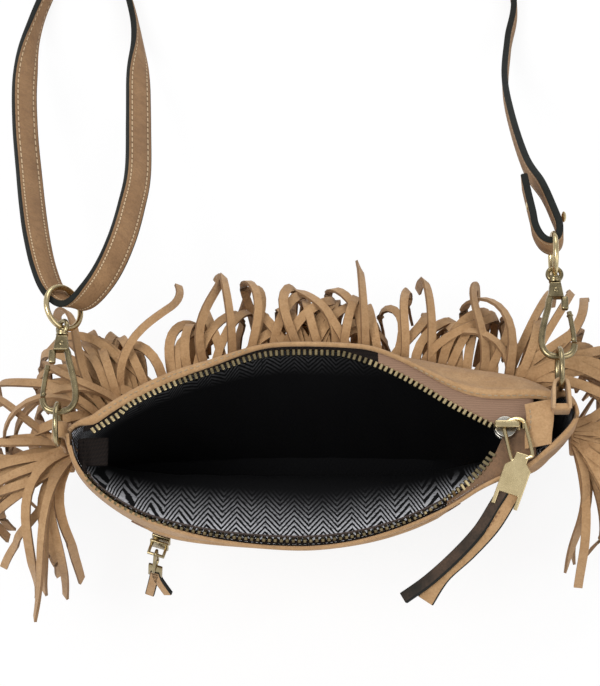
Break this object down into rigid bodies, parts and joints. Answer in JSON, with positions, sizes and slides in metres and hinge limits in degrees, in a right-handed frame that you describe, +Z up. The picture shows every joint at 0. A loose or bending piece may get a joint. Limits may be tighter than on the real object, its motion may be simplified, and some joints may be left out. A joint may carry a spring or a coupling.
{
  "type": "fringed zip-top shoulder bag",
  "caption": "Suede zip-top shoulder bag with a fringed front, a zipped back pocket, swivel-clasp strap and corner tassels, its mouth pulled open.",
  "frame": {"origin": "middle of the underside of the base panel", "axes": "+Z up, +Y out of the fringed front, -Y out of the plain back with the pocket zip, +X along the bag to its right seen from the back"},
  "size_m": [0.3486, 0.5431, 0.1646],
  "materials": {
    "suede": "napped tan suede with dark painted cut edges",
    "lining": "woven black and off-white zigzag",
    "zip_tape": "woven cotton zip tape",
    "brass": "light polished brass",
    "dark_brass": "antiqued dark brass"
  },
  "bodies": {
    "body": {"base_panel": "suede", "back_panel": "suede", "front_panel": "suede", "lining": "lining", "back_teeth": "dark_brass", "front_teeth": "brass", "back_mouth_tape": "zip_tape", "front_mouth_tape": "zip_tape", "main_slider": "brass", "closed_chain": "brass", "zip_end_tab": "suede", "pocket_tape": "zip_tape", "pocket_chain": "brass", "pocket_slider": "dark_brass", "left_link_ring": "dark_brass", "right_link_ring": "dark_brass", "left_swivel_eye": "dark_brass", "right_swivel_eye": "dark_brass", "left_o_ring": "brass", "right_o_ring": "brass", "left_corner_loop": "suede", "right_corner_loop": "suede", "strap": "suede", "top_fringe": "suede", "low_fringe": "suede", "left_tassel": "suede", "right_tassel": "suede"},
    "main_pull": {"main_puller": "brass", "main_pull_tab": "suede"},
    "pocket_pull": {"pocket_puller": "dark_brass", "pocket_pull_tab": "suede"},
    "left_clasp": {"left_hook": "dark_brass"},
    "left_gate_arm": {"left_gate": "dark_brass"},
    "right_clasp": {"right_hook": "dark_brass"},
    "right_gate_arm": {"right_gate": "dark_brass"}
  },
  "joints": [
    {"name": "main_pull_swing", "type": "hinge", "parent": "body", "child": "main_pull", "pos_m": [0.095, -0.017, 0.14753], "axis": [1, 0, 0], "range_deg": [-110, 0]},
    {"name": "pocket_pull_swing", "type": "hinge", "parent": "body", "child": "pocket_pull", "pos_m": [-0.08693, -0.07594, 0.11247], "axis": [0.9546, -0.2948, -0.0425], "range_deg": [-70, 0]},
    {"name": "left_swivel", "type": "hinge", "parent": "body", "child": "left_clasp", "pos_m": [-0.1368, 0.0194, 0.15], "axis": [0, 1, 0], "range_deg": [-30, 30]},
    {"name": "left_gate_swing", "type": "hinge", "parent": "left_clasp", "child": "left_gate_arm", "pos_m": [-0.1444, 0.0144, 0.15], "axis": [0, 0, 1], "range_deg": [0, 25]},
    {"name": "right_swivel", "type": "hinge", "parent": "body", "child": "right_clasp", "pos_m": [0.123, 0.0494, 0.152], "axis": [0, 1, 0], "range_deg": [-30, 30]},
    {"name": "right_gate_swing", "type": "hinge", "parent": "right_clasp", "child": "right_gate_arm", "pos_m": [0.1306, 0.0444, 0.152], "axis": [0, 0, 1], "range_deg": [-25, 0]}
  ]
}
